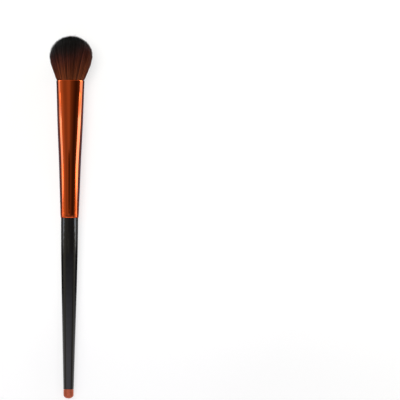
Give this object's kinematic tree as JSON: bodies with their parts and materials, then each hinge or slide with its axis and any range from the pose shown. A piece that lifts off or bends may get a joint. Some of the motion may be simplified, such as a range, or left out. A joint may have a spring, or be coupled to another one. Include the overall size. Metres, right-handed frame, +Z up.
{
  "type": "concealer brush",
  "caption": "Slim make-up brush with an angled dome of soft two-tone fibres, a long glossy ferrule that turns from round to oval, a tapered lacquered handle and a metal end cap.",
  "frame": {"origin": "centre of the bounding box on the surface that the brush lies on", "axes": "+Y along the brush from the end cap to the fibre head, +Z up, away from the surface and towards the long side of the head, +X across the width of the oval mouth"},
  "size_m": [0.0208, 0.1746, 0.0165],
  "materials": {
    "fibres": "soft tapered synthetic fibres, brown at the root and black at the tip",
    "glue": "cured clear epoxy",
    "copper_anodised": "bright copper-orange anodised",
    "lacquered_wood": "black lacquer, glossy",
    "copper_satin": "satin copper"
  },
  "bodies": {
    "root": {"fibre_bundle": "fibres", "fibre_glue": "glue", "ferrule": "copper_anodised", "handle_glue": "glue", "handle": "lacquered_wood", "end_cap": "copper_satin"}
  },
  "joints": []
}
